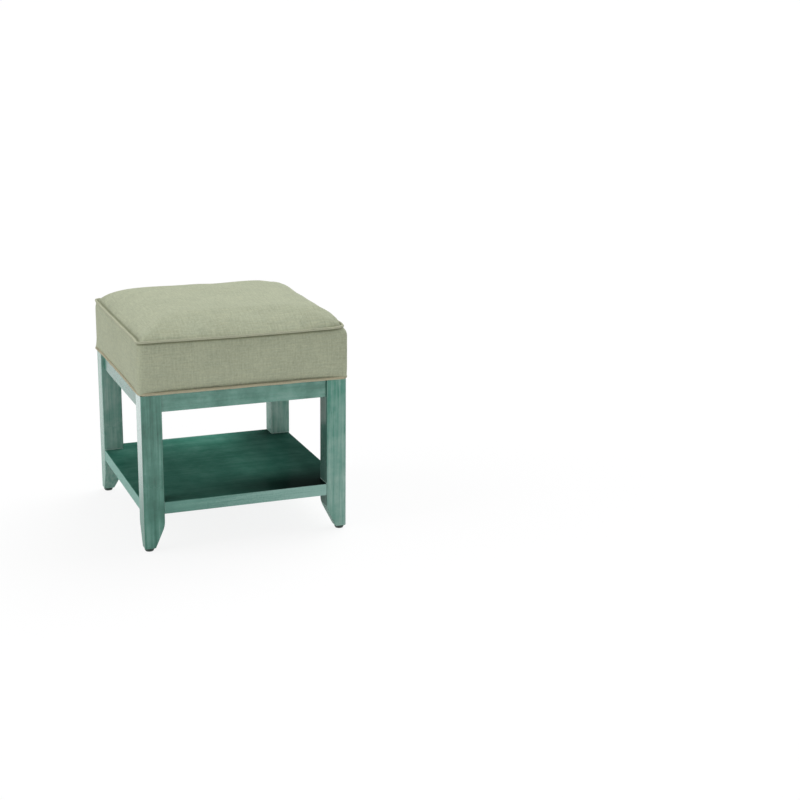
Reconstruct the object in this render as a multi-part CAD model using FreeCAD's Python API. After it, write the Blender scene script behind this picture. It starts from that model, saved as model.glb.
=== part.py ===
import FreeCAD, Part
import math
import os

# Cube ottoman: a mortised hardwood frame with a low shelf and a welted, upholstered seat.
# Millimetres. The origin is the middle of the footprint on the floor, -Y is the front and +Z is up.

# Frame
frame_width = 449.0
frame_depth = 449.0
frame_top = 341.0

# Legs: square posts, tapered on the two inner faces below the shelf
leg_side = 44.5
foot_side = 23.5
taper_drop = 26.0
taper_blend = 50.0
leg_edge = 1.8
foot_chamfer = 1.5

# Glides: a plastic puck on a nail
glide_diameter = 21.0
glide_tread = 17.0
glide_height = 6.5
glide_edge = 4.0
glide_sides = 24
nail_diameter = 2.8
nail_point = 0.8
nail_cover = 2.5
nail_bite = 18.0

# Aprons between the legs, under the seat, with a tenon at each end
apron_height = 38.5
apron_thickness = 22.0
apron_setback = 6.0
apron_edge = 1.5
tenon_thickness = 10.0
tenon_shoulder = 7.0
mortise_wall = 1.5

# Shelf, notched round the legs, with a stub tenon into each
shelf_bottom = 80.5
shelf_thickness = 26.5
shelf_setback = 1.0
shelf_edge = 2.5
stub_length = 15.0
stub_width = 24.0
stub_height = 12.0

# Corner blocks glued inside the aprons, and the screws through them into the seat
block_reach = 90.0
block_end = 8.0
block_height = 30.0
block_drop = 1.0
screw_diameter = 4.5
screw_head_diameter = 9.0
screw_tip = 5.0
screw_point = 0.8
screw_offset = 12.0
screw_bite = 11.0
fastener_sides = 12

# Seat
seat_overhang = 2.0
seat_corner = 15.0
boxing_height = 114.5
crown_rise = 37.0
crown_run = 110.0
crown_power = 3.4
crown_steps = 6
crown_rounding = 0.5
crown_corner_steps = 4
cover_thickness = 1.5
wrap_thickness = 8.0
board_thickness = 15.0
strip_width = 46.0
strip_thickness = 1.5
dust_cover_margin = 10.0
dust_cover_lap = 12.0
dust_cover_thickness = 0.8
top_welt_diameter = 5.6
bottom_welt_diameter = 6.4
welt_reveal = 2.0
welt_sides = 12

# Clearances
fit_clearance = 0.1
glue_space = 1.0
soft_clearance = 0.3
block_clearance = 0.5

# Places that follow from the sizes above
half_width = frame_width / 2
half_depth = frame_depth / 2
apron_bottom = frame_top - apron_height
apron_centre = apron_setback + apron_thickness / 2
apron_inner = apron_setback + apron_thickness
tenon_bottom = apron_bottom + tenon_shoulder
tenon_top = frame_top - tenon_shoulder
mortise_end = apron_centre + tenon_thickness / 2 + fit_clearance + mortise_wall
tenon_end = mortise_end + glue_space
shelf_top = shelf_bottom + shelf_thickness
shelf_middle = shelf_bottom + shelf_thickness / 2
taper_break = shelf_bottom - taper_drop
block_top = frame_top - block_drop
block_bottom = block_top - block_height
block_near = apron_inner
block_far = apron_inner + block_reach
block_blunt = apron_inner + block_end
strip_bottom = frame_top + dust_cover_thickness
board_bottom = strip_bottom + strip_thickness
board_top = board_bottom + board_thickness
screw_length = board_bottom + screw_bite - block_bottom
seam_height = frame_top + boxing_height
seat_half_x = half_width + seat_overhang
seat_half_y = half_depth + seat_overhang
wrap_inset = cover_thickness + soft_clearance
foam_inset = wrap_inset + wrap_thickness + soft_clearance
foam_top = seam_height
top_welt_room = top_welt_diameter / 2 + soft_clearance
bottom_welt_room = bottom_welt_diameter / 2 + soft_clearance
bottom_welt_height = frame_top + bottom_welt_room
boxing_bottom = bottom_welt_height + bottom_welt_room
boxing_top = seam_height - top_welt_room
seat_crest = seam_height + crown_rise

UP = FreeCAD.Vector(0, 0, 1)
CENTRE = FreeCAD.Vector(0, 0, 0)
CORNERS = {
    "front_left": (-1, -1),
    "front_right": (1, -1),
    "rear_left": (-1, 1),
    "rear_right": (1, 1),
}


def point(x, y, z=0.0):
    return FreeCAD.Vector(x, y, z)


def save(name, *solids):
    """Writes one node: a single solid, or a group of like solids."""
    shape = solids[0] if len(solids) == 1 else Part.makeCompound(list(solids))
    shape.exportStep("parts/" + name + ".step")


def polygon_face(points):
    return Part.Face(Part.makePolygon(points + points[:1]))


def box_between(low, high):
    size = high - low
    return Part.makeBox(size.x, size.y, size.z, low)


def skinned(outlines):
    """Solid with flat faces from one outline to the next; their points match and their sides are parallel."""
    faces = [polygon_face(outlines[0]), polygon_face(outlines[-1])]
    for lower, upper in zip(outlines, outlines[1:]):
        for index in range(len(lower)):
            faces.append(polygon_face([lower[index - 1], lower[index], upper[index], upper[index - 1]]))
    return Part.Solid(Part.Shell(faces))


def ring(middle, radius, sides):
    """Corners of a many-sided level outline."""
    turns = [2 * math.pi * step / sides for step in range(sides)]
    return [middle + point(math.cos(turn), math.sin(turn)) * radius for turn in turns]


def turned(middle, profile, sides):
    """Round piece about an upright axis through middle, from (radius, height) pairs."""
    return skinned([ring(middle + UP * height, radius, sides) for radius, height in profile])


def to_corner(shape, side_x, side_y):
    """A piece made for the front left corner, mirrored to another corner."""
    moved = shape.copy()
    if side_x > 0:
        moved = moved.mirror(CENTRE, point(1, 0))
    if side_y > 0:
        moved = moved.mirror(CENTRE, point(0, 1))
    return moved


def at_all_corners(shape):
    return [to_corner(shape, *sides) for sides in CORNERS.values()]


def at_corner(along_x, along_y, z):
    """A point measured inwards from the front left leg's outer faces."""
    return point(along_x - half_width, along_y - half_depth, z)


def along_edges(shape, axis, keep):
    """Straight edges parallel to an axis whose middle passes the test."""
    found = []
    for edge in shape.Edges:
        box = edge.BoundBox
        lengths = {"x": box.XLength, "y": box.YLength, "z": box.ZLength}
        run = lengths.pop(axis)
        if run > max(lengths.values()) and keep(edge.CenterOfMass):
            found.append(edge)
    return found


# Fasteners of the front left corner; grown gives the hole for each

def seat_screw(grown=0.0):
    """Countersunk screw from the underside of the corner block up into the seat board."""
    along = leg_side + screw_offset
    shank = screw_diameter / 2 + grown
    head = screw_head_diameter / 2 + grown
    profile = [
        (head, 0), (shank, head - shank), (shank, screw_length - screw_tip),
        (screw_point / 2 + grown, screw_length + grown),
    ]
    return turned(at_corner(along, along, block_bottom), profile, fastener_sides)


def glide_nail(grown=0.0):
    """Nail moulded into the glide and driven up into the foot."""
    radius = nail_diameter / 2 + grown
    tip = glide_height + nail_bite
    profile = [
        (radius, nail_cover - grown), (radius, tip - nail_diameter), (nail_point / 2 + grown, tip + grown),
    ]
    return turned(at_corner(foot_side / 2, foot_side / 2, 0), profile, fastener_sides)


def glide():
    """Puck under the front left foot that narrows to its tread."""
    profile = [
        (glide_tread / 2, 0), (glide_diameter / 2, glide_edge), (glide_diameter / 2, glide_height),
    ]
    puck = turned(at_corner(foot_side / 2, foot_side / 2, 0), profile, glide_sides)
    return puck.cut(glide_nail(fit_clearance))


# Legs

def tapered_post():
    """Post with one tapered side: the profile in XZ, drawn out along Y, with a soft taper start."""
    profile = [
        point(0, 0, glide_height), point(foot_side, 0, glide_height), point(leg_side, 0, taper_break),
        point(leg_side, 0, frame_top), point(0, 0, frame_top),
    ]
    post = polygon_face(profile).extrude(point(0, leg_side))
    knee = along_edges(post, "y", lambda middle: abs(middle.z - taper_break) < leg_edge)
    return post.makeFillet(taper_blend, knee)


def mortises():
    """Sockets in the front left leg for the tenons of its two aprons and of the shelf."""
    cheek = tenon_thickness / 2 + fit_clearance
    low = tenon_bottom - fit_clearance
    high = tenon_top + fit_clearance
    stub_end = leg_side - stub_length - glue_space
    stub_cheek = stub_width / 2 + fit_clearance
    stub_rise = stub_height / 2 + fit_clearance
    return [
        box_between(at_corner(mortise_end, apron_centre - cheek, low),
                    at_corner(leg_side, apron_centre + cheek, high)),
        box_between(at_corner(apron_centre - cheek, mortise_end, low),
                    at_corner(apron_centre + cheek, leg_side, high)),
        box_between(at_corner(stub_end, leg_side / 2 - stub_cheek, shelf_middle - stub_rise),
                    at_corner(leg_side, leg_side / 2 + stub_cheek, shelf_middle + stub_rise)),
    ]


def leg():
    """The front left leg: both inner faces tapered, edges eased, mortised and drilled for its nail."""
    across = tapered_post()
    along = across.mirror(CENTRE, point(1, -1))
    post = across.common(along)
    uprights = [edge for edge in post.Edges if edge.BoundBox.ZLength > leg_edge]
    post = post.makeFillet(leg_edge, uprights)
    rim = [edge for edge in post.Edges if edge.BoundBox.ZMax < glide_height + foot_chamfer]
    post = post.makeChamfer(foot_chamfer, rim)
    post.translate(at_corner(0, 0, 0))
    return post.cut(mortises() + [glide_nail(fit_clearance)])


# Aprons

def apron(half_span, half_frame):
    """Front apron of a frame half_span wide and half_frame deep each way from its middle."""
    shoulder = half_span - leg_side
    outer = apron_setback - half_frame
    board = box_between(point(-shoulder, outer, apron_bottom),
                        point(shoulder, outer + apron_thickness, frame_top))
    lower = along_edges(board, "x", lambda middle: middle.z < tenon_bottom)
    board = board.makeFillet(apron_edge, lower)
    reach = half_span - tenon_end
    middle = apron_centre - half_frame
    tenons = box_between(point(-reach, middle - tenon_thickness / 2, tenon_bottom),
                         point(reach, middle + tenon_thickness / 2, tenon_top))
    return board.fuse(tenons)


def aprons():
    front = apron(half_width, half_depth)
    right = apron(half_depth, half_width).rotate(CENTRE, UP, 90)
    return {
        "front": front,
        "rear": front.mirror(CENTRE, point(0, 1)),
        "right": right,
        "left": right.mirror(CENTRE, point(1, 0)),
    }


# Shelf

def shelf():
    """Panel notched round the legs, with eased rims and a stub tenon in each notch."""
    panel = box_between(at_corner(shelf_setback, shelf_setback, shelf_bottom),
                        point(half_width - shelf_setback, half_depth - shelf_setback, shelf_top))
    notch = box_between(at_corner(0, 0, shelf_bottom), at_corner(leg_side, leg_side, shelf_top))
    panel = panel.cut(at_all_corners(notch))
    outer_x = half_width - shelf_setback - shelf_edge
    outer_y = half_depth - shelf_setback - shelf_edge
    rims = along_edges(panel, "x", lambda middle: abs(middle.y) > outer_y)
    rims += along_edges(panel, "y", lambda middle: abs(middle.x) > outer_x)
    panel = panel.makeFillet(shelf_edge, rims)
    low = at_corner(leg_side - stub_length, (leg_side - stub_width) / 2, shelf_middle - stub_height / 2)
    high = at_corner(leg_side, (leg_side + stub_width) / 2, shelf_middle + stub_height / 2)
    return panel.fuse(at_all_corners(box_between(low, high)))


# Corner blocks

def corner_block():
    """Block across the front left corner, notched round the leg and bored for its screw."""
    notch = leg_side + block_clearance
    plan = [
        (notch, block_near), (block_far, block_near), (block_far, block_blunt), (block_blunt, block_far),
        (block_near, block_far), (block_near, notch), (notch, notch),
    ]
    block = polygon_face([at_corner(x, y, block_bottom) for x, y in plan]).extrude(UP * block_height)
    return block.cut(seat_screw(fit_clearance))


# Seat

def corner_arcs(half_x, half_y, radius, height, steps):
    """Points along the four corners of a rounded rectangle that is centred on the origin."""
    arcs = []
    for index, (side_x, side_y) in enumerate(((1, -1), (1, 1), (-1, 1), (-1, -1))):
        centre = point(side_x * (half_x - radius), side_y * (half_y - radius), height)
        turns = [math.radians(90 * (index - 1 + step / steps)) for step in range(steps + 1)]
        arcs.append([centre + point(math.cos(turn), math.sin(turn)) * radius for turn in turns])
    return arcs


def seat_outline(inset, height):
    """The seat's outline drawn in by inset, as lines and arcs."""
    arcs = corner_arcs(seat_half_x - inset, seat_half_y - inset, seat_corner - inset, height, 2)
    edges = []
    for arc, following in zip(arcs, arcs[1:] + arcs[:1]):
        edges.append(Part.Arc(*arc).toShape())
        edges.append(Part.makeLine(arc[-1], following[0]))
    return Part.Wire(edges)


def seat_slab(inset, bottom, top):
    """The seat's outline drawn in by inset, from one height to another."""
    return Part.Face(seat_outline(inset, bottom)).extrude(UP * (top - bottom))


def seat_ring(outer, inner, bottom, top):
    """A band round the seat between two insets."""
    return seat_slab(outer, bottom, top).cut(seat_slab(inner, bottom, top))


def crown_outline(inset, run, height):
    """Outline of the crown where it has come in by run from the seat's side, rounder the further in."""
    radius = seat_corner - inset + crown_rounding * run
    half_x = seat_half_x - inset - run
    half_y = seat_half_y - inset - run
    return sum(corner_arcs(half_x, half_y, radius, height, crown_corner_steps), [])


def crowned_slab(inset, bottom, drop):
    """The seat's outline drawn in by inset, with a crown on top that is lowered by drop."""
    sections = [crown_outline(inset, 0, bottom)]
    for step in range(crown_steps + 1):
        share = step / crown_steps
        height = seam_height + crown_rise * (1 - (1 - share) ** crown_power) - drop
        sections.append(crown_outline(inset, crown_run * share, height))
    return skinned(sections)


def welt_inset(diameter):
    """How far a cord's centre line lies inside the seat's side."""
    return diameter / 2 - welt_reveal


def welt(diameter, height):
    """Cord round the seat that stands out past its side by the reveal."""
    path = seat_outline(welt_inset(diameter), height)
    corners = ring(CENTRE, diameter / 2, welt_sides)
    section = Part.makePolygon(corners + corners[:1])
    section.rotate(CENTRE, point(0, 1), 90)
    section.translate(path.OrderedVertexes[0].Point)
    return path.makePipeShell([section], True, True)


def side_wedges(bottom, top):
    """Four blocks that share the seat's sides out, mitred at its corners."""
    reach_x = seat_half_x + seat_corner
    reach_y = seat_half_y + seat_corner
    depth = 2 * strip_width
    plans = {}
    for name, side in (("front", -1), ("rear", 1)):
        plans[name] = [
            point(-reach_x, side * reach_y, bottom), point(reach_x, side * reach_y, bottom),
            point(reach_x - depth, side * (reach_y - depth), bottom),
            point(depth - reach_x, side * (reach_y - depth), bottom),
        ]
    for name, side in (("left", -1), ("right", 1)):
        plans[name] = [
            point(side * reach_x, -reach_y, bottom), point(side * reach_x, reach_y, bottom),
            point(side * (reach_x - depth), reach_y - depth, bottom),
            point(side * (reach_x - depth), depth - reach_y, bottom),
        ]
    return {name: polygon_face(plan).extrude(UP * (top - bottom)) for name, plan in plans.items()}


def top_panel():
    """The crowned panel of the cover, which starts on top of the upper welt."""
    rim = seam_height + top_welt_room
    shell = crowned_slab(0, boxing_top, 0).cut(crowned_slab(0, boxing_top, cover_thickness))
    return shell.common(seat_slab(0, rim, seat_crest))


def boxing():
    """The four side panels of the cover, between the two welts and sewn together at the corners."""
    walls = seat_ring(0, cover_thickness, boxing_bottom, boxing_top)
    wedges = side_wedges(boxing_bottom, boxing_top)
    return {"boxing_" + side: walls.common(wedge) for side, wedge in wedges.items()}


def fibre_wrap():
    """Soft layer that crowns the foam and hangs past the board's edge, with a groove for the upper welt."""
    blank = crowned_slab(wrap_inset, boxing_bottom, wrap_inset)
    hollow = seat_slab(wrap_inset + wrap_thickness, boxing_bottom, foam_top + soft_clearance)
    groove_depth = welt_inset(top_welt_diameter) + top_welt_room
    groove = seat_ring(0, groove_depth, boxing_top, seam_height + top_welt_room)
    return blank.cut([hollow, groove])


def foam_core():
    return seat_slab(foam_inset, board_top, foam_top)


def pull_strips():
    """Plain cloth strips sewn to the lower welt and turned in under the seat board."""
    ring = seat_slab(welt_inset(bottom_welt_diameter) + bottom_welt_room, strip_bottom, board_bottom)
    inner_x = seat_half_x - strip_width
    inner_y = seat_half_y - strip_width
    window = box_between(point(-inner_x, -inner_y, strip_bottom), point(inner_x, inner_y, board_bottom))
    ring = ring.cut(window)
    wedges = side_wedges(strip_bottom, board_bottom)
    return {"pull_strip_" + side: ring.common(wedge) for side, wedge in wedges.items()}


def seat_board():
    return seat_slab(foam_inset, board_bottom, board_top).cut(at_all_corners(seat_screw(fit_clearance)))


def dust_cover():
    """Thin cloth stapled under the seat, with its corners cut off above the corner blocks."""
    sheet = box_between(at_corner(dust_cover_margin, dust_cover_margin, frame_top),
                        point(half_width - dust_cover_margin, half_depth - dust_cover_margin, strip_bottom))
    clip = block_far + block_blunt - dust_cover_lap * math.sqrt(2)
    corner = polygon_face([
        at_corner(0, 0, frame_top), at_corner(clip, 0, frame_top), at_corner(0, clip, frame_top),
    ])
    return sheet.cut(at_all_corners(corner.extrude(UP * dust_cover_thickness)))


os.makedirs("parts", exist_ok=True)

one_leg = leg()
one_block = corner_block()
one_glide = glide()
for corner, sides in CORNERS.items():
    save("leg_" + corner, to_corner(one_leg, *sides))
    save("corner_block_" + corner, to_corner(one_block, *sides))
    save("glide_" + corner, to_corner(one_glide, *sides))
save("glide_nails", *at_all_corners(glide_nail()))
save("seat_screws", *at_all_corners(seat_screw()))

for side, board in aprons().items():
    save("apron_" + side, board)
save("shelf", shelf())

save("seat_board", seat_board())
save("foam_core", foam_core())
save("fibre_wrap", fibre_wrap())
save("top_panel", top_panel())
for name, cloth in {**boxing(), **pull_strips()}.items():
    save(name, cloth)
save("top_welt", welt(top_welt_diameter, seam_height))
save("bottom_welt", welt(bottom_welt_diameter, bottom_welt_height))
save("dust_cover", dust_cover())
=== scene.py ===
import math

import bpy
from mathutils import Matrix, Vector, noise


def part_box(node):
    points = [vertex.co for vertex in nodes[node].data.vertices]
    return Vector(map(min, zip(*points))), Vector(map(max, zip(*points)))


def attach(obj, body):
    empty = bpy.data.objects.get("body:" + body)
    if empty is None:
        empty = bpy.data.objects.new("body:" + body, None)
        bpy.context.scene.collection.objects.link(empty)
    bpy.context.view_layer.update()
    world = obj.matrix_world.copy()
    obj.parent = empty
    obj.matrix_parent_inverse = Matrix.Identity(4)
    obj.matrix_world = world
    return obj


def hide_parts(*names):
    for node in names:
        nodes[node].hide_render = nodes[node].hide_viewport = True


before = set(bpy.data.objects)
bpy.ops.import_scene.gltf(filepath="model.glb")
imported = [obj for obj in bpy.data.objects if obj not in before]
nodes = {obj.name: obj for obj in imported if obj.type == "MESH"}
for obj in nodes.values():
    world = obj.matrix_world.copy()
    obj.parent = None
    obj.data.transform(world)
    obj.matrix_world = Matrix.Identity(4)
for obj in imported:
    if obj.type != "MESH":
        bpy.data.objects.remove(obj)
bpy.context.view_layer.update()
scene = bpy.context.scene
scene.view_settings.view_transform = "Standard"


# Camera
lens_mm = 70.974
sensor_mm = 36.0
yaw = math.radians(-21.868)
pitch = math.radians(15.500)
roll = math.radians(0.690)
eye = Vector((-0.8910, -3.3165, 1.2058))

level_right = Vector((math.cos(yaw), math.sin(yaw), 0.0))
level_ahead = Vector((-math.sin(yaw), math.cos(yaw), 0.0))
upward = Vector((0.0, 0.0, 1.0))
ahead = level_ahead * math.cos(pitch) - upward * math.sin(pitch)
tilted_up = upward * math.cos(pitch) + level_ahead * math.sin(pitch)
camera_right = level_right * math.cos(roll) + tilted_up * math.sin(roll)
camera_up = tilted_up * math.cos(roll) - level_right * math.sin(roll)

camera_data = bpy.data.cameras.new("camera")
camera_data.lens = lens_mm
camera_data.sensor_fit = "HORIZONTAL"
camera_data.sensor_width = sensor_mm
camera_data.clip_end = 300.0
camera = bpy.data.objects.new("camera", camera_data)
scene.collection.objects.link(camera)
turn = Matrix((camera_right, camera_up, -ahead)).transposed()
camera.matrix_world = Matrix.Translation(eye) @ turn.to_4x4()
scene.camera = camera


# Node helpers
class Shader:
    """Adds nodes to one node tree and joins them up."""

    def __init__(self, tree):
        self.tree = tree

    def put(self, socket, value):
        if isinstance(value, bpy.types.NodeSocket):
            self.tree.links.new(value, socket)
        else:
            socket.default_value = value

    def add(self, kind, inputs=None, **settings):
        made = self.tree.nodes.new("ShaderNode" + kind)
        for name, value in settings.items():
            setattr(made, name, value)
        for name, value in (inputs or {}).items():
            self.put(made.inputs[name], value)
        return made

    def math(self, operation, first, second=0.0):
        return self.add("Math", {0: first, 1: second}, operation=operation).outputs[0]

    def vector(self, operation, first, second):
        return self.add("VectorMath", {0: first, 1: second}, operation=operation).outputs[0]

    def total(self, parts, start=0.0):
        """start plus each part times its weight."""
        for part, weight in parts:
            start = self.math("ADD", start, self.math("MULTIPLY", part, weight))
        return start

    def axes(self, value):
        """The X, Y and Z of a vector."""
        return self.add("SeparateXYZ", {0: value}).outputs

    def span(self, value, low, high, start=0.0, end=1.0):
        """The value's way from low to high, eased, as a number from start to end."""
        inputs = {"Value": value, "From Min": low, "From Max": high, "To Min": start, "To Max": end}
        return self.add("MapRange", inputs, interpolation_type="SMOOTHSTEP").outputs[0]

    def noise(self, where, scale, detail=3.0, roughness=0.5):
        """Noise from about 0.2 to 0.8, scale in waves per metre for each axis."""
        spread = self.vector("MULTIPLY", where, scale)
        inputs = {"Vector": spread, "Scale": 1.0, "Detail": detail, "Roughness": roughness}
        return self.add("TexNoise", inputs).outputs[0]

    def ramp(self, value, stops):
        """The colour at value, between (place, colour) stops."""
        made = self.add("ValToRGB", {0: value})
        marks = made.color_ramp.elements
        while len(marks) < len(stops):
            marks.new(0.5)
        for mark, (place, colour) in zip(marks, stops):
            mark.position = place
            mark.color = (*colour, 1.0)
        return made.outputs[0]

    def mix(self, share, first, second, blend="MIX"):
        made = self.add("Mix", data_type="RGBA", blend_type=blend)
        self.put(made.inputs[0], share)
        self.put(made.inputs[6], (*first, 1.0) if isinstance(first, tuple) else first)
        self.put(made.inputs[7], (*second, 1.0) if isinstance(second, tuple) else second)
        return made.outputs[2]

    def bump(self, height, depth, strength=1.0):
        inputs = {"Height": height, "Distance": depth, "Strength": strength}
        return self.add("Bump", inputs).outputs[0]


def new_material(name):
    """A new material, with its node helper and its surface node."""
    material = bpy.data.materials.new(name)
    material.use_nodes = True
    return material, Shader(material.node_tree), material.node_tree.nodes["Principled BSDF"]


# World, lamps and floor
def seen_directly(shader):
    """One for what the camera sees, straight or in a gloss or glass; none for light on the object."""
    path = shader.add("LightPath").outputs
    either = shader.math("MAXIMUM", path["Is Camera Ray"], path["Is Glossy Ray"])
    return shader.math("MAXIMUM", either, path["Is Transmission Ray"])


world_light = 0.36
world_lean = 0.12
floor_half = 90.0
floor_white = (0.99, 0.99, 1.0)
floor_shadow_share = 0.13
floor_bounce = (0.85, 0.85, 0.85)

world = bpy.data.worlds.new("studio")
world.use_nodes = True
scene.world = world
shader = Shader(world.node_tree)
backdrop = shader.add("Background", {"Color": (1.0, 1.0, 1.0, 1.0), "Strength": 1.0})
rightward = shader.axes(shader.add("TexCoord").outputs["Generated"])["X"]
leaning = shader.total([(rightward, -world_lean)], world_light)
ambient = shader.add("Background", {"Color": (1.0, 1.0, 1.0, 1.0), "Strength": leaning})
both = shader.add("MixShader", {0: seen_directly(shader), 1: ambient.outputs[0], 2: backdrop.outputs[0]})
shader.put(world.node_tree.nodes["World Output"].inputs["Surface"], both.outputs[0])


def soft_lamp(name, strength, comes_from, spread_degrees):
    """A far lamp in the direction comes_from, the softer the wider it spreads."""
    lamp_data = bpy.data.lights.new(name, "SUN")
    lamp_data.energy = strength
    lamp_data.angle = math.radians(spread_degrees)
    lamp = bpy.data.objects.new(name, lamp_data)
    scene.collection.objects.link(lamp)
    lamp.rotation_mode = "QUATERNION"
    lamp.rotation_quaternion = Vector(comes_from).to_track_quat("Z", "Y")


soft_lamp("key_left", 0.88, (-0.80, 0.10, 0.59), 45.0)
soft_lamp("key_above", 1.90, (0.48, 0.28, 0.83), 45.0)
soft_lamp("fill_front", 0.35, (0.05, -0.96, 0.26), 40.0)

floor_mesh = bpy.data.meshes.new("floor")
corners = [(-1, -1), (1, -1), (1, 1), (-1, 1)]
floor_mesh.from_pydata([(x * floor_half, y * floor_half, 0.0) for x, y in corners], [], [(0, 1, 2, 3)])
floor = bpy.data.objects.new("floor", floor_mesh)
scene.collection.objects.link(floor)
floor_material = bpy.data.materials.new("floor")
floor_material.use_nodes = True
shader = Shader(floor_material.node_tree)
shaded = shader.add("BsdfDiffuse", {"Color": (*floor_white, 1.0)})
glow = shader.add("Emission", {"Color": (1.0, 1.0, 1.0, 1.0), "Strength": 1.0})
plain = shader.add("BsdfDiffuse", {"Color": (*floor_bounce, 1.0)})
shown = shader.add("MixShader", {0: floor_shadow_share, 1: glow.outputs[0], 2: shaded.outputs[0]})
both = shader.add("MixShader", {0: seen_directly(shader), 1: plain.outputs[0], 2: shown.outputs[0]})
shader.put(floor_material.node_tree.nodes["Material Output"].inputs["Surface"], both.outputs[0])
floor_mesh.materials.append(floor_material)


# Wood
stain_tones = [
    (0.36, (0.006, 0.068, 0.045)),
    (0.46, (0.030, 0.160, 0.112)),
    (0.53, (0.058, 0.220, 0.163)),
    (0.61, (0.115, 0.310, 0.243)),
    (0.72, (0.245, 0.425, 0.362)),
    (0.86, (0.400, 0.570, 0.505)),
]
pore_colour = (0.018, 0.075, 0.056)
rubbed_colour = (0.34, 0.50, 0.42)
inner_shade_colour = (0.010, 0.060, 0.045)
filler_colour = (0.42, 0.58, 0.52)
scuff_colour = (0.27, 0.45, 0.38)
left_highlight_colour = (0.46, 0.65, 0.61)
painted_corner_shade_colour = (0.006, 0.016, 0.013)
thin_stain_and_highlight_colour = (0.34, 0.55, 0.49)
# Painted light and shade across the shelf's top from left to right: lighter in the middle, darkest at the
# right.
shelf_painted_shading = [(0.03, 0.80), (0.25, 0.84), (0.45, 1.20), (0.60, 1.24), (0.77, 0.55), (0.90, 0.28)]
shelf_low, shelf_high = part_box("shelf")
leg_inner_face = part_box("leg_front_right")[0].x
inner_fade = (0.0015, 0.0008)
filler_lift = 0.0010
filler_fade = (0.0016, 0.0008)
rubbed_radius = 0.0035
ply_pair_m = 0.003


def rubbed_edges(shader, colour, fleck, band):
    """The colour, paler in patches along a piece's edges."""
    rounded = shader.add("Bevel", {"Radius": rubbed_radius}, samples=6).outputs[0]
    flat = shader.add("NewGeometry").outputs["True Normal"]
    facing = shader.add("VectorMath", {0: rounded, 1: flat}, operation="DOT_PRODUCT").outputs["Value"]
    edge = shader.span(facing, 0.985, 0.80)
    patch = shader.span(shader.total([(fleck, 0.6), (band, 0.4)]), 0.45, 0.62)
    worn = shader.math("MULTIPLY", edge, shader.total([(patch, 0.65)], 0.08))
    return shader.mix(worn, colour, rubbed_colour)


def leg_insides(shader, colour, place, fleck, painted_inner_shade):
    """The colour with painted shade on a leg's two inner faces, and a broken line of filler just above the
    shelf.
    """
    inward = shader.axes(shader.add("VectorMath", {0: place}, operation="ABSOLUTE").outputs[0])
    nearest = shader.math("MINIMUM", inward["X"], inward["Y"])
    inner = shader.span(nearest, leg_inner_face + inner_fade[0], leg_inner_face + inner_fade[1])
    # Painted shade on the inner faces.
    colour = shader.mix(shader.math("MULTIPLY", inner, painted_inner_shade), colour, inner_shade_colour)
    above = shader.math("SUBTRACT", shader.axes(place)["Z"], shelf_high.z + filler_lift)
    line = shader.span(shader.math("ABSOLUTE", above), *filler_fade)
    filler = shader.math("MULTIPLY", line, shader.span(fleck, 0.36, 0.52))
    filler = shader.math("MULTIPLY", filler, inner)
    return shader.mix(shader.math("MULTIPLY", filler, 0.8), colour, filler_colour)


def shelf_colour_with_painted_shade(shader, colour, place, normal, streak, fleck):
    """The shelf's colour: painted light mid-top, painted shade to the right and front, thin stain on the
    edges.
    """
    spot = shader.axes(place)
    from_left = shader.total([(spot["X"], 1.0 / (shelf_high.x - shelf_low.x))], 0.5)
    painted_shading = shader.ramp(from_left, [(where, (grey, grey, grey)) for where, grey in shelf_painted_shading])
    top = shader.mix(1.0, colour, painted_shading, "MULTIPLY")
    # Painted shade on the top, towards its front and strongest at the right.
    right_end = shader.span(spot["X"], -0.18, 0.13, 0.16, 1.0)
    corner = shader.math("MULTIPLY", right_end, shader.span(spot["Y"], -0.05, -0.19))
    top = shader.mix(corner, top, painted_corner_shade_colour)
    thin = shader.total([(spot["X"], 1.6), (fleck, 0.5)], shader.math("SUBTRACT", streak, 0.25))
    thin = shader.span(thin, 0.25, 0.75, 0.36, 0.94)
    # A painted highlight on the left edge face, laid over the thin stain.
    thin = shader.math("MAXIMUM", thin, shader.span(normal["X"], -0.6, -0.95, 0.0, 0.9))
    edges = shader.mix(thin, colour, thin_stain_and_highlight_colour)
    return shader.mix(shader.span(normal["Z"], 0.6, 0.95), edges, top)


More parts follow.
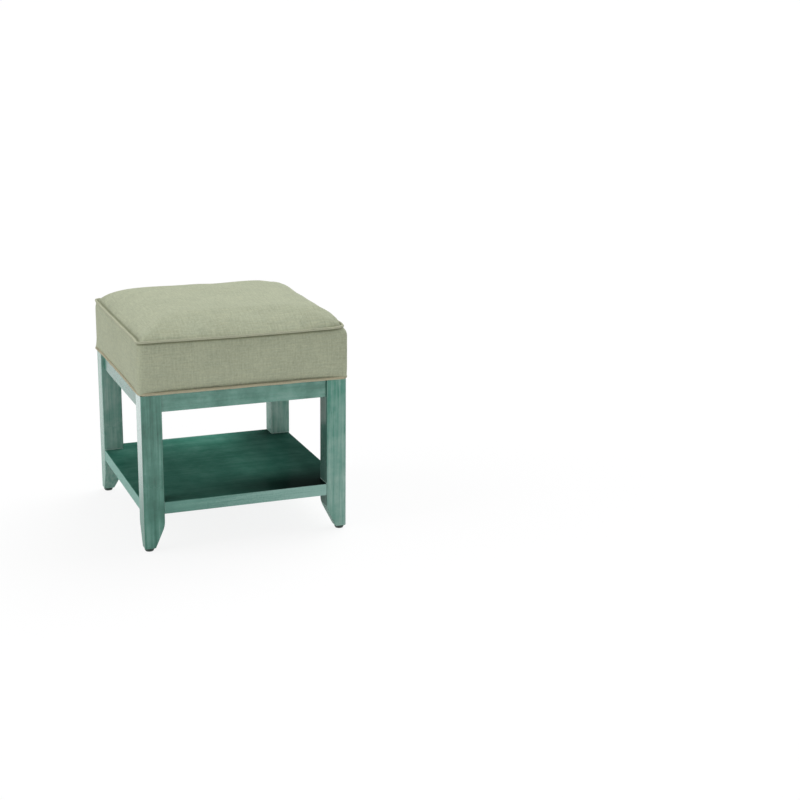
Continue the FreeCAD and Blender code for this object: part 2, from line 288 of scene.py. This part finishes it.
def stained_wood(name, grain_axis, tone_lift, figure, lacquer=0.0, gloss=0.5, foot_lift=0.0, left_highlight=0.0,
                 painted_inner_shade=0.0, shelf=False):
    """Blue-green stain with darker grain, rubbed pale along the edges.

    figure is how strongly streaks, bands and blotches show. foot_lift makes it paler towards the floor, and
    bleached paints a highlight high up on its left face. painted_inner_shade paints shade on a leg's faces
    towards the middle.
    """
    material, shader, surface = new_material(name)
    place = shader.add("TexCoord").outputs["Object"]
    high_up = shader.axes(place)["Z"]
    normal = shader.axes(shader.add("NewGeometry").outputs["Normal"])

    def along(across, lengthwise):
        """Waves per metre for the three axes, fewer along the grain."""
        scale = [across, across, across]
        scale[grain_axis] = lengthwise
        return tuple(scale)

    streak = shader.noise(place, along(190.0, 6.0), 5.0, 0.62)
    band = shader.noise(place, along(38.0, 2.2), 3.0, 0.5)
    blotch = shader.noise(place, (24.0, 24.0, 24.0), 5.0, 0.62)
    pore = shader.noise(place, along(900.0, 24.0), 2.0, 0.5)
    fleck = shader.noise(place, (260.0, 260.0, 260.0), 3.0, 0.7)

    tone = shader.total(zip((streak, band, blotch), figure), 0.5 + tone_lift - 0.5 * sum(figure))
    if foot_lift:
        tone = shader.math("ADD", tone, shader.span(high_up, 0.34, 0.10, -0.5 * foot_lift, foot_lift))
    colour = shader.ramp(tone, stain_tones)
    open_pore = shader.span(pore, 0.60, 0.72)
    colour = shader.mix(shader.math("MULTIPLY", open_pore, 0.45), colour, pore_colour)
    colour = rubbed_edges(shader, colour, fleck, band)
    if grain_axis == 2:
        colour = leg_insides(shader, colour, place, fleck, painted_inner_shade)
    scuff = shader.math("MULTIPLY", shader.span(fleck, 0.66, 0.76), shader.span(blotch, 0.50, 0.62))
    colour = shader.mix(shader.math("MULTIPLY", scuff, 0.35), colour, scuff_colour)
    # A painted highlight on the left face, strongest high up and none near the floor.
    if left_highlight:
        leftward = shader.span(normal["X"], -0.6, -0.95)
        pale = shader.math("MULTIPLY", leftward, shader.span(high_up, 0.06, 0.30, 0.0, left_highlight))
        colour = shader.mix(pale, colour, left_highlight_colour)
    if shelf:
        colour = shelf_colour_with_painted_shade(shader, colour, place, normal, streak, fleck)
    shader.put(surface.inputs["Base Color"], colour)

    rough = shader.span(shader.total([(open_pore, 0.3)], blotch), 0.3, 1.0, 0.14, 0.34)
    rough = shader.math("ADD", rough, shader.span(high_up, 0.24, 0.04, 0.0, 0.22))
    shader.put(surface.inputs["Roughness"], rough)
    surface.inputs["IOR"].default_value = 1.55
    surface.inputs["Specular IOR Level"].default_value = gloss
    shader.put(surface.inputs["Coat Weight"], shader.span(high_up, 0.02, 0.30, 0.2 * lacquer, lacquer))
    surface.inputs["Coat Roughness"].default_value = 0.12
    grain = shader.total([(streak, 0.5), (open_pore, -1.0)])
    shader.put(surface.inputs["Normal"], shader.bump(grain, 0.00018, 0.6))
    return material


def bare_wood(name, pale, dark, scale):
    """Unfinished wood with plain grain."""
    material, shader, surface = new_material(name)
    place = shader.add("TexCoord").outputs["Object"]
    grain = shader.noise(place, (scale, scale * 0.08, scale), 5.0, 0.6)
    fine = shader.noise(place, (scale * 7.0, scale * 0.3, scale * 7.0), 2.0, 0.5)
    tone = shader.total([(grain, 0.7), (fine, 0.3)])
    shader.put(surface.inputs["Base Color"], shader.ramp(tone, [(0.34, dark), (0.64, pale)]))
    shader.put(surface.inputs["Roughness"], shader.span(fine, 0.2, 0.8, 0.62, 0.82))
    shader.put(surface.inputs["Normal"], shader.bump(tone, 0.0003, 0.5))
    return material


def plywood(name):
    """Bare veneer on the faces and thin plies round the edge."""
    material, shader, surface = new_material(name)
    place = shader.add("TexCoord").outputs["Object"]
    grain = shader.noise(place, (90.0, 6.0, 90.0), 5.0, 0.6)
    face = shader.ramp(grain, [(0.34, (0.36, 0.22, 0.11)), (0.64, (0.58, 0.40, 0.22))])
    ply_waves = 2.0 * math.pi / ply_pair_m
    ply = shader.math("SINE", shader.math("MULTIPLY", shader.axes(place)["Z"], ply_waves))
    layers = shader.ramp(shader.span(ply, -0.4, 0.4), [(0.0, (0.24, 0.14, 0.07)), (1.0, (0.55, 0.38, 0.22))])
    normal = shader.add("NewGeometry").outputs["True Normal"]
    level = shader.math("ABSOLUTE", shader.axes(normal)["Z"])
    shader.put(surface.inputs["Base Color"], shader.mix(shader.span(level, 0.4, 0.8), layers, face))
    shader.put(surface.inputs["Roughness"], shader.span(grain, 0.2, 0.8, 0.62, 0.80))
    shader.put(surface.inputs["Normal"], shader.bump(grain, 0.0003, 0.5))
    return material


def moulded_plastic(name):
    """Dark plastic with a fine spark texture."""
    material, shader, surface = new_material(name)
    place = shader.add("TexCoord").outputs["Object"]
    spark = shader.noise(place, (1500.0, 1500.0, 1500.0), 2.0, 0.5)
    rub = shader.noise(place, (220.0, 220.0, 220.0), 4.0, 0.6)
    colour = shader.ramp(rub, [(0.35, (0.008, 0.024, 0.018)), (0.70, (0.030, 0.066, 0.053))])
    shader.put(surface.inputs["Base Color"], colour)
    shader.put(surface.inputs["Roughness"], shader.span(rub, 0.3, 0.7, 0.42, 0.62))
    shader.put(surface.inputs["Normal"], shader.bump(spark, 0.00008, 0.6))
    return material


def plated_steel(name):
    """Zinc-plated steel, hazed."""
    material, shader, surface = new_material(name)
    place = shader.add("TexCoord").outputs["Object"]
    haze = shader.noise(place, (320.0, 320.0, 320.0), 4.0, 0.6)
    colour = shader.ramp(haze, [(0.3, (0.42, 0.42, 0.43)), (0.7, (0.64, 0.64, 0.66))])
    shader.put(surface.inputs["Base Color"], colour)
    surface.inputs["Metallic"].default_value = 1.0
    shader.put(surface.inputs["Roughness"], shader.span(haze, 0.3, 0.7, 0.26, 0.48))
    return material


# Cloth
crease_shade = (0.42, 0.42, 0.36)
warm_thread = (1.06, 0.99, 0.90)
dot_pitch_m = 0.0016


def checks(shader, flat, pitch_m):
    """A wave over the flat cloth, up and down in squares of that pitch."""
    spot = shader.axes(flat)
    wave_u = shader.math("SINE", shader.math("MULTIPLY", spot["X"], math.pi / pitch_m))
    wave_v = shader.math("SINE", shader.math("MULTIPLY", spot["Y"], math.pi / pitch_m))
    return shader.math("MULTIPLY", wave_u, wave_v)


def woven(name, tint, pitch_m, bias=0.0, contrast=1.0):
    """Plain weave from the piece's own UV map in metres. bias turns the threads, in degrees."""
    material, shader, surface = new_material(name)
    flat = shader.add("UVMap", uv_map="cut").outputs[0]
    threads = shader.add("VectorRotate", {"Vector": flat, "Angle": math.radians(bias)},
                         rotation_type="Z_AXIS").outputs[0]
    crossing = checks(shader, threads, pitch_m)
    pillow = shader.math("ABSOLUTE", crossing)

    per_thread = 0.55 / pitch_m
    warp = shader.noise(threads, (per_thread, 16.0, 1.0), 3.0, 0.6)
    weft = shader.noise(threads, (16.0, per_thread, 1.0), 3.0, 0.6)
    slub = shader.noise(threads, (260.0, 40.0, 1.0), 3.0, 0.6)
    slub_across = shader.noise(threads, (40.0, 260.0, 1.0), 3.0, 0.6)
    mottle = shader.noise(threads, (230.0, 230.0, 1.0), 3.0, 0.65)
    drift = shader.noise(threads, (11.0, 11.0, 1.0), 2.0, 0.5)

    over = shader.span(crossing, -0.15, 0.15)
    thread = shader.math("ADD", shader.math("MULTIPLY", warp, over),
                         shader.math("MULTIPLY", weft, shader.math("SUBTRACT", 1.0, over)))
    tone = shader.total([(thread, 0.34), (mottle, 0.30), (slub, 0.20), (slub_across, 0.20), (drift, 0.10)])
    tone = shader.total([(tone, contrast), (pillow, 0.16)])
    middle = 0.57 * contrast + 0.065
    shade = shader.total([(shader.math("SUBTRACT", tone, middle), 1.15)], 1.0)
    colour = shader.mix(1.0, tint, shade, "MULTIPLY")
    warm = shader.math("MULTIPLY", shader.span(weft, 0.38, 0.66), 0.35)
    colour = shader.mix(warm, colour, shader.mix(1.0, colour, warm_thread, "MULTIPLY"))
    crease = shader.add("Attribute", attribute_name="crease").outputs["Fac"]
    colour = shader.mix(crease, colour, shader.mix(1.0, colour, crease_shade, "MULTIPLY"))
    shader.put(surface.inputs["Base Color"], colour)
    shader.put(surface.inputs["Roughness"], shader.span(mottle, 0.2, 0.8, 0.84, 0.96))
    surface.inputs["Specular IOR Level"].default_value = 0.22
    surface.inputs["Sheen Weight"].default_value = 0.06
    surface.inputs["Sheen Roughness"].default_value = 0.5
    surface.inputs["Sheen Tint"].default_value = (0.95, 0.95, 0.88, 1.0)
    relief = shader.total([(pillow, 0.6), (thread, 0.5), (mottle, 0.5)])
    shader.put(surface.inputs["Normal"], shader.bump(relief, 0.00045, 0.55))
    return material


def lining_cloth(name):
    """Thin dark nonwoven with a pressed dot pattern."""
    material, shader, surface = new_material(name)
    flat = shader.add("UVMap", uv_map="cut").outputs[0]
    dot = shader.span(checks(shader, flat, dot_pitch_m), 0.35, 0.75)
    fibre = shader.noise(flat, (700.0, 700.0, 1.0), 4.0, 0.7)
    haze = shader.noise(flat, (30.0, 30.0, 1.0), 3.0, 0.5)
    tone = shader.total([(fibre, 0.6), (haze, 0.4)])
    colour = shader.ramp(tone, [(0.3, (0.010, 0.010, 0.011)), (0.7, (0.034, 0.034, 0.036))])
    colour = shader.mix(shader.math("MULTIPLY", dot, 0.5), colour, (0.008, 0.008, 0.009))
    shader.put(surface.inputs["Base Color"], colour)
    shader.put(surface.inputs["Roughness"], shader.span(fibre, 0.2, 0.8, 0.75, 0.92))
    surface.inputs["Specular IOR Level"].default_value = 0.25
    relief = shader.total([(fibre, 0.5), (dot, -1.0)])
    shader.put(surface.inputs["Normal"], shader.bump(relief, 0.0002, 0.6))
    return material


# Materials of the rigid pieces and the cloths
thread_pitch_m = 0.0011
leg_figure = (0.40, 0.16, 0.30)
rail_figure = (0.16, 0.12, 0.40)
shelf_figure = (0.10, 0.07, 0.18)
stain_x = stained_wood("stain_along_x", 0, 0.068, rail_figure, lacquer=0.55)
stain_y = stained_wood("stain_along_y", 1, 0.04, rail_figure, lacquer=0.05)
# The rear legs' tones are lifted as painted light against the shade under the seat.
stain_leg = {
    "leg_front_left": stained_wood("stain_front_left", 2, -0.005, leg_figure, 0.45, foot_lift=0.040,
                                   left_highlight=0.85),
    "leg_front_right": stained_wood("stain_front_right", 2, 0.172, leg_figure, gloss=0.05, foot_lift=0.060,
                                    painted_inner_shade=0.65),
    "leg_rear_left": stained_wood("stain_rear_left", 2, 0.205, leg_figure, 0.03, gloss=0.35),
    "leg_rear_right": stained_wood("stain_rear_right", 2, 0.245, leg_figure, gloss=0.03),
}
stain_shelf = stained_wood("stain_shelf", 0, 0.04, shelf_figure, 0.05, gloss=0.0, shelf=True)
blocks_wood = bare_wood("block_wood", (0.56, 0.38, 0.20), (0.36, 0.22, 0.10), 70.0)
board_wood = plywood("board_plywood")
glide_plastic = moulded_plastic("glide_plastic")
fastener_steel = plated_steel("fastener_steel")
cover_cloth = woven("cover_cloth", (0.420, 0.455, 0.330), thread_pitch_m, contrast=1.5)
welt_cloth = woven("welt_cloth", (0.430, 0.450, 0.330), thread_pitch_m, 45.0, 0.8)
base_welt_cloth = woven("base_welt_cloth", (0.450, 0.420, 0.295), thread_pitch_m, 45.0, 0.8)
lining = lining_cloth("lining")


def finish_of(name):
    """A rigid node's material, or none for a node that the scene replaces."""
    if name in stain_leg:
        return stain_leg[name]
    if name in ("apron_front", "apron_rear"):
        return stain_x
    if name in ("apron_left", "apron_right"):
        return stain_y
    if name == "shelf":
        return stain_shelf
    if name.startswith("corner_block_"):
        return blocks_wood
    if name == "seat_board":
        return board_wood
    if name in ("seat_screws", "glide_nails"):
        return fastener_steel
    if name.startswith("glide_"):
        return glide_plastic
    return None


for name, piece in nodes.items():
    finish = finish_of(name)
    if finish:
        piece.material_slots[0].material = finish


# Cushion
def middle_and_radius(node):
    """Height of a welt's middle, its radius, and half the width over its middle line."""
    low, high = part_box(node)
    radius = (high.z - low.z) / 2.0
    return (high.z + low.z) / 2.0, radius, high.x - radius


seam_height, seam_radius, seam_half = middle_and_radius("top_welt")
base_height, base_radius, base_half = middle_and_radius("bottom_welt")
crest_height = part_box("top_panel")[1].z
side_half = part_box("boxing_right")[1].x
board_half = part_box("seat_board")[1].x
board_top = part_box("seat_board")[1].z

# Mesh
grid_lines = 64
grid_pull = 0.35
boxing_rows = 20
boxing_pull = 0.45
inner_row_share = 0.1
board_gap_above = 0.0004
board_gap_beside = 0.0008

# Seams, with the dip inside the top welt and the slot below it
seam_inset = 0.0016
seam_corner = 0.008
front_sag = 0.0025
side_sag = 0.0012
base_corner = 0.016
valley_depth = 0.0014
valley_middle = 0.6
valley_spread = 0.4
left_valley = 0.0060
left_valley_power = 8
front_valley = 0.0036
far_valley = 0.0020
slot_depth = 0.0022
slot_share = 0.034
slot_middle = 0.6
slot_spread = 0.5
slot_corner = 0.016

# Boxing, drawn in towards its bottom seam
top_bend = 0.16
base_bend = 0.27
bend_power = 2.2
corner_inset = -0.0028
base_tuck = 0.0083
left_tuck = 0.0035
tuck_power = 6

# Crown, fuller to the right and in the corners
crown_power = 7.0
right_power = 10.2
right_growth = 4
corner_roundness = 12.0
left_corner_power = 33.6
front_right_power = 44.0
corner_growth = 9
rear_right_power = 110.0
rear_right_growth = 3
rear_right_drop = 0.62
drop_power = 1.4
soft_height = 0.0012
soft_waves = 3.1

# Shifts of the corners, by their sides in x and y
corner_reach = 0.026
side_reach = 0.060
seam_shift = {
    (-1, -1): Vector((-0.0040, -0.0040)),
    (1, -1): Vector((-0.0060, 0.0060)),
    (1, 1): Vector((0.0010, 0.0010)),
    (-1, 1): Vector((0.0025, -0.0015)),
}
side_shift = {
    (-1, -1): Vector((-0.0010, -0.0010)),
    (1, -1): Vector((0.0026, -0.0010)),
    (1, 1): Vector((0.0015, 0.0015)),
    (-1, 1): Vector((0.0008, 0.0010)),
}
base_shift = {
    (-1, -1): Vector((-0.0010, -0.0010)),
    (1, -1): Vector((0.0024, -0.0010)),
    (1, 1): Vector((0.0020, 0.0020)),
    (-1, 1): Vector((-0.0022, 0.0020)),
}

# Shade in the dip and in the slot, then the filling
valley_shade_middle = 0.75
valley_shade_spread = 0.40
slot_shade_middle = 0.9
slot_shade_spread = 0.55
swell_frames = 20
swell_pressure = 4.0
swell_limit = 0.003


def bell(value, middle, width):
    """One at the middle, falling off smoothly to both sides."""
    return math.exp(-(((value - middle) / width) ** 2))


def bunched(count, pull):
    """Steps from -1 to 1, closer together towards both ends by pull."""
    steps = []
    for index in range(count + 1):
        q = 2.0 * index / count - 1.0
        steps.append(q * (1.0 + pull * (1.0 - q * q)))
    return steps


def on_rounded_square(s, t, half, radius):
    """A point of the unit square's edge, on a square of that half width with round corners."""
    point = Vector((s * half, t * half))
    inner = half - radius
    if abs(point.x) > inner and abs(point.y) > inner:
        corner = Vector((math.copysign(inner, point.x), math.copysign(inner, point.y)))
        point = corner + (point - corner).normalized() * radius
    return point


def shifted(point, half, shifts, reach):
    """The point, moved with the corners near it."""
    moved = point.copy()
    for (side_x, side_y), shift in shifts.items():
        apart = math.hypot(point.x - side_x * half, point.y - side_y * half)
        moved += shift * bell(apart, 0.0, reach)
    return moved


def seam_line(s, t, inset=0.0):
    """The top seam above a point of the unit square's edge, with its uneven corners and slight sag."""
    point = on_rounded_square(s, t, seam_half - inset, seam_corner)
    point = shifted(point, seam_half, seam_shift, corner_reach)
    height = seam_height
    if abs(t) >= abs(s):
        height -= (front_sag if t < 0.0 else side_sag) * (1.0 - s * s)
    else:
        height -= side_sag * (1.0 - t * t)
    return Vector((point.x, point.y, height))


def base_line(s, t, inset=0.0):
    """The bottom seam below a point of the unit square's edge."""
    point = on_rounded_square(s, t, base_half - inset, base_corner)
    point = shifted(point, base_half, base_shift, side_reach)
    return Vector((point.x, point.y, base_height))


def edge_places(count):
    """Points round the unit square's edge, closer together towards its corners, front left first."""
    steps = bunched(count, grid_pull)[:-1]
    places = [(step, -1.0) for step in steps]
    places += [(1.0, step) for step in steps]
    places += [(-step, 1.0) for step in steps]
    places += [(-1.0, -step) for step in steps]
    return places


def new_piece(name, points, faces, material, flat=None):
    """A smooth mesh piece. flat gives each face's corners their place on the cut cloth, in metres."""
    mesh = bpy.data.meshes.new(name)
    mesh.from_pydata(points, [], faces)
    if flat:
        cut = mesh.uv_layers.new(name="cut")
        for face, places in zip(mesh.polygons, flat):
            for corner, place in zip(face.loop_indices, places):
                cut.data[corner].uv = place
    for face in mesh.polygons:
        face.use_smooth = True
    mesh.materials.append(material)
    mesh.validate()
    piece = bpy.data.objects.new(name, mesh)
    scene.collection.objects.link(piece)
    return piece


def valleys(s, t):
    """Widths of the dip inside the top welt, across and along, near a point of the unit square."""
    across = far_valley
    if s < 0.0:
        across += (left_valley - far_valley) * (1.0 - max(0.0, t) ** left_valley_power)
    along = front_valley if t < 0.0 else far_valley
    return across, along


def valley_place(s, t):
    """How far in from the top seam a point of the unit square lies, in widths of the dip there."""
    across, along = valleys(s, t)
    width = across if abs(s) > abs(t) else along
    return (1.0 - max(abs(s), abs(t))) * seam_half / width


def steepness(s, t):
    """How steeply the top panel climbs from its edge towards a point of the unit square."""
    both = abs(s * t)
    power = crown_power + right_power * max(0.0, s) ** right_growth
    if s < 0.0:
        return power + left_corner_power * both ** corner_growth
    if t < 0.0:
        return power + front_right_power * both ** corner_growth
    return power + rear_right_power * both ** rear_right_growth


def crown(s, t):
    """A point of the top panel over the unit square."""
    ring = max(abs(s), abs(t))
    if ring < 1e-9:
        return Vector((0.0, 0.0, crest_height))
    rim = seam_line(s / ring, t / ring, seam_inset)
    across, along = valleys(s, t)
    full_s = min(1.0, abs(s) / (1.0 - across / seam_half)) ** corner_roundness
    full_t = min(1.0, abs(t) / (1.0 - along / seam_half)) ** corner_roundness
    inside = (1.0 - full_s) * (1.0 - full_t)
    fullness = 1.0 - (1.0 - inside) ** (steepness(s, t) / corner_roundness)
    valley = valley_depth * bell(valley_place(s, t), valley_middle, valley_spread)
    soft = soft_height * noise.noise(Vector((s * soft_waves, t * soft_waves, 4.0)))
    rise = (crest_height - rim.z + soft) * fullness
    rise *= 1.0 - rear_right_drop * (max(0.0, s) * max(0.0, t)) ** drop_power
    return Vector((rim.x * ring, rim.y * ring, rim.z + rise - valley))


def boxing_profile(share, slot):
    """How far the side stands out at a share of its height, by its top seam and by its bottom seam.

    Both run from 0 in the seam to 1 past the bend beside it.
    """
    top = 1.0 - max(0.0, 1.0 - max(0.0, share - slot) / top_bend) ** bend_power
    base = 1.0 - max(0.0, 1.0 - (1.0 - share) / base_bend) ** bend_power
    return top, base


def slot_open(s, t):
    """One where a slot opens below the top welt, falling to none at all corners but the front left."""
    if s < 0.0 and t < 0.0:
        return 1.0
    away = seam_half * (1.0 - min(abs(s), abs(t)))
    return 1.0 - bell(away, 0.0, slot_corner)


def side_point(s, t, share):
    """A point of the boxing below a point of the unit square's edge."""
    opened = slot_open(s, t)
    slot = slot_depth * opened * bell(share / slot_share, slot_middle, slot_spread)
    rim = seam_line(s, t, seam_inset + slot)
    away = 1.0 - min(abs(s), abs(t)) ** tuck_power
    tuck = left_tuck if s == -1.0 else base_tuck
    foot = base_line(s, t, corner_inset + tuck * away)
    middle = on_rounded_square(s, t, side_half, 0.5 * (seam_corner + base_corner))
    middle = shifted(middle, side_half, side_shift, side_reach)
    top, base = boxing_profile(share, slot_share * opened)
    height = rim.z + (foot.z - rim.z) * share
    if share < 0.5:
        flat = Vector((rim.x, rim.y)).lerp(middle, top)
    else:
        flat = Vector((foot.x, foot.y)).lerp(middle, base)
    return Vector((flat.x, flat.y, height))


# Top panel, and its rim with the way along it
places = edge_places(grid_lines)
lines = bunched(grid_lines, grid_pull)
points = []
faces = []
flat = []
grid = {}
for row, t in enumerate(lines):
    for column, s in enumerate(lines):
        grid[column, row] = len(points)
        points.append(crown(s, t))
for row in range(grid_lines):
    for column in range(grid_lines):
        ring = [(column, row), (column + 1, row), (column + 1, row + 1), (column, row + 1)]
        faces.append([grid[corner] for corner in ring])
        flat.append([(points[grid[corner]].x, points[grid[corner]].y) for corner in ring])
last = grid_lines
rim = [grid[k, 0] for k in range(last)] + [grid[last, k] for k in range(last)]
rim += [grid[last - k, last] for k in range(last)] + [grid[0, last - k] for k in range(last)]
travel = [0.0]
for k in range(len(rim)):
    here = points[rim[k]]
    there = points[rim[(k + 1) % len(rim)]]
    travel.append(travel[-1] + math.hypot(there.x - here.x, there.y - here.y))

# Boxing from the rim down, then the inside, up beside the board and over it
rows = [rim]
heights = [0.5 + 0.5 * step for step in bunched(boxing_rows, boxing_pull)]
for share in heights[1:]:
    rows.append([])
    for s, t in places:
        rows[-1].append(len(points))
        points.append(side_point(s, t, share))
over_board = board_top + board_gap_above
beside_board = board_half + board_gap_beside
inner_rings = [(beside_board, base_height), (beside_board, over_board), (board_half * 0.5, over_board)]
for half, height in inner_rings:
    heights.append(heights[-1] + inner_row_share)
    rows.append([])
    for s, t in places:
        spot = on_rounded_square(s, t, half, base_corner)
        rows[-1].append(len(points))
        points.append(Vector((spot.x, spot.y, height)))
drop = seam_height - base_height
for upper, lower, high, low in zip(rows, rows[1:], heights, heights[1:]):
    for k in range(len(rim)):
        following = (k + 1) % len(rim)
        faces.append([upper[k], lower[k], lower[following], upper[following]])
        flat.append([(travel[k], -high * drop), (travel[k], -low * drop),
                     (travel[k + 1], -low * drop), (travel[k + 1], -high * drop)])
centre = len(points)
points.append(Vector((0.0, 0.0, over_board)))
for k in range(len(rim)):
    following = (k + 1) % len(rim)
    faces.append([rows[-1][k], centre, rows[-1][following]])
    flat.append([(travel[k], 0.0), (0.0, 0.0), (travel[k + 1], 0.0)])

cushion = new_piece("seat_cushion", points, faces, cover_cloth, flat)

# Where the cloth is shaded in the dip inside the top welt and in the slot below it
crease = cushion.data.attributes.new("crease", "FLOAT", "POINT")
for (column, row), index in grid.items():
    inward = valley_place(lines[column], lines[row])
    crease.data[index].value = bell(inward, valley_shade_middle, valley_shade_spread)
for share, row in zip(heights[1:], rows[1:boxing_rows + 1]):
    shade = bell(share / slot_share, slot_shade_middle, slot_shade_spread)
    for index, (s, t) in zip(row, places):
        crease.data[index].value = slot_open(s, t) * shade


def swell(piece, sewn, pressure, limit):
    """Lets the cloth fill and settle, with its sewn points held, and caps how far a point moves."""
    held = piece.vertex_groups.new(name="sewn")
    held.add(sewn, 1.0, "REPLACE")
    start = [vertex.co.copy() for vertex in piece.data.vertices]
    cloth = piece.modifiers.new("swell", "CLOTH")
    settings = cloth.settings
    settings.quality = 6
    settings.mass = 0.25
    settings.tension_stiffness = 35.0
    settings.compression_stiffness = 35.0
    settings.shear_stiffness = 12.0
    settings.bending_stiffness = 4.0
    settings.air_damping = 2.0
    settings.vertex_group_mass = "sewn"
    settings.use_pressure = True
    settings.uniform_pressure_force = pressure
    settings.effector_weights.gravity = 0.0
    cloth.collision_settings.use_collision = False
    cloth.point_cache.frame_start = 1
    cloth.point_cache.frame_end = swell_frames
    for step in range(1, swell_frames + 1):
        scene.frame_set(step)
    settled = piece.evaluated_get(bpy.context.evaluated_depsgraph_get()).data
    for vertex, before, after in zip(piece.data.vertices, start, settled.vertices):
        moved = after.co - before
        if moved.length > limit:
            moved *= limit / moved.length
        vertex.co = before + moved
    piece.modifiers.remove(cloth)
    piece.vertex_groups.clear()
    scene.frame_set(1)


under = [index for row in rows[boxing_rows:] for index in row] + [centre]
grooves = rows[1] + rows[2]
for (column, row), index in grid.items():
    if min(column, row, last - column, last - row) in (1, 2):
        grooves.append(index)
swell(cushion, rim + grooves + under, swell_pressure, swell_limit)
smoother = cushion.modifiers.new("smoother", "SUBSURF")
smoother.levels = 1
smoother.render_levels = 1
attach(cushion, "root")
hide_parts("top_panel", "boxing_front", "boxing_rear", "boxing_left", "boxing_right")
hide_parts("foam_core", "fibre_wrap")


# Welts
welt_steps = 110
top_wobble = 0.0006
base_wobble = 0.0005
front_lie = 0.0007
left_lie = -0.0010
lie_power = 8
cord_unevenness = 0.05
size_waves = 55.0
rise_waves = 24.0
outward_waves = 31.0


def tube(name, path, radius, material, wobble, sides=12):
    """A closed covered cord along path, slightly uneven."""
    count = len(path)
    points = []
    travel = [0.0]
    for k, here in enumerate(path):
        ahead_of = path[(k + 1) % count]
        along = (ahead_of - path[k - 1]).normalized()
        outward = along.cross(upward).normalized()
        rise = outward.cross(along)
        size = radius * (1.0 + cord_unevenness * noise.noise(here * size_waves))
        shift = rise * wobble * noise.noise(here * rise_waves)
        shift += outward * wobble * noise.noise(here * outward_waves + upward)
        for side in range(sides):
            angle = 2.0 * math.pi * side / sides
            points.append(here + shift + (outward * math.cos(angle) + rise * math.sin(angle)) * size)
        travel.append(travel[-1] + (ahead_of - here).length)
    around = 2.0 * math.pi * radius / sides
    faces = []
    flat = []
    for k in range(count):
        first = k * sides
        second = (k + 1) % count * sides
        for side in range(sides):
            over = (side + 1) % sides
            faces.append([first + side, second + side, second + over, first + over])
            flat.append([(travel[k], side * around), (travel[k + 1], side * around),
                         (travel[k + 1], (side + 1) * around), (travel[k], (side + 1) * around)])
    return new_piece(name, points, faces, material, flat)


def top_cord_line(s, t):
    """The top welt's middle: between the corners it lies up on the front and down on the left."""
    away = 1.0 - min(abs(s), abs(t)) ** lie_power
    lie = 0.0
    if t == -1.0:
        lie = front_lie
    elif s == -1.0:
        lie = left_lie
    return seam_line(s, t) + upward * lie * away


welt_places = edge_places(welt_steps)
top_path = [top_cord_line(s, t) for s, t in welt_places]
base_path = [base_line(s, t) for s, t in welt_places]
top_cord = tube("top_cord", top_path, seam_radius, welt_cloth, top_wobble)
base_cord = tube("base_cord", base_path, base_radius, base_welt_cloth, base_wobble)
for piece, node in ((top_cord, "top_welt"), (base_cord, "bottom_welt")):
    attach(piece, "root")
    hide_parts(node)


# Lining under the seat
def cloth_sheet(name, inside, cells, height, thickness):
    """A thin sheet from a grid over the unit square: inside() places its points and height() lifts them."""
    points = []
    flat_places = []
    for row in range(cells[1] + 1):
        for column in range(cells[0] + 1):
            spot = inside(2.0 * column / cells[0] - 1.0, 2.0 * row / cells[1] - 1.0)
            points.append(Vector((spot[0], spot[1], height(spot[0], spot[1]))))
            flat_places.append(spot)
    faces = []
    wide = cells[0] + 1
    for row in range(cells[1]):
        for column in range(cells[0]):
            first = row * wide + column
            faces.append([first, first + wide, first + wide + 1, first + 1])
    flat = [[flat_places[index] for index in face] for face in faces]
    piece = new_piece(name, points, faces, lining, flat)
    thick = piece.modifiers.new("thickness", "SOLIDIFY")
    thick.thickness = thickness
    thick.offset = 0.0
    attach(piece, "root")
    return piece


cover_low, cover_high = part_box("dust_cover")
cover_half = cover_high.x
cover_height = (cover_low.z + cover_high.z) / 2.0
cover_cut = 0.117
cover_cells = (48, 48)
cover_thickness = 0.0006
cover_sag = 0.004
ripple_height = 0.0012
ripple_waves = 14.0
strip_cells = (60, 6)
strip_thickness = 0.0009
apron_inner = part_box("apron_right")[0].x


def eight_sided(s, t):
    """A point of the unit square, on a square with its corners cut off."""
    ring = max(abs(s), abs(t))
    reach = abs(s) + abs(t)
    most = (2.0 - cover_cut / cover_half) * ring
    share = most / reach if reach > most else 1.0
    return (s * share * cover_half, t * share * cover_half)


def dust_cover_height(x, y):
    """The dust cover's height: level under the frame and sagging a little inside the aprons."""
    open_x = max(0.0, 1.0 - (x / apron_inner) ** 2)
    open_y = max(0.0, 1.0 - (y / apron_inner) ** 2)
    ripple = ripple_height * noise.noise(Vector((x * ripple_waves, y * ripple_waves, 1.0)))
    return cover_height - (cover_sag + ripple) * open_x * open_y


dust_cover = cloth_sheet("dust_cover_cloth", eight_sided, cover_cells, dust_cover_height, cover_thickness)
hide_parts("dust_cover")


def pull_strip(side):
    """One strip of cloth under the board, with mitred ends."""
    low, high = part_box("pull_strip_" + side)
    middle = (low + high) / 2.0
    half_x = (high.x - low.x) / 2.0
    half_y = (high.y - low.y) / 2.0
    lengthwise_x = half_x > half_y

    def strip_place(s, t):
        """A point of the unit square on the strip, which is shorter towards the middle of the seat."""
        if lengthwise_x:
            outer = t * math.copysign(1.0, middle.y)
            return (s * (half_x - half_y * (1.0 - outer)), middle.y + t * half_y)
        outer = s * math.copysign(1.0, middle.x)
        return (middle.x + s * half_x, t * (half_y - half_x * (1.0 - outer)))

    def strip_height(x, y):
        return middle.z

    cells = strip_cells if lengthwise_x else strip_cells[::-1]
    strip = cloth_sheet("pull_strip_cloth_" + side, strip_place, cells, strip_height, strip_thickness)
    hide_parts("pull_strip_" + side)


for side in ("front", "rear", "left", "right"):
    pull_strip(side)
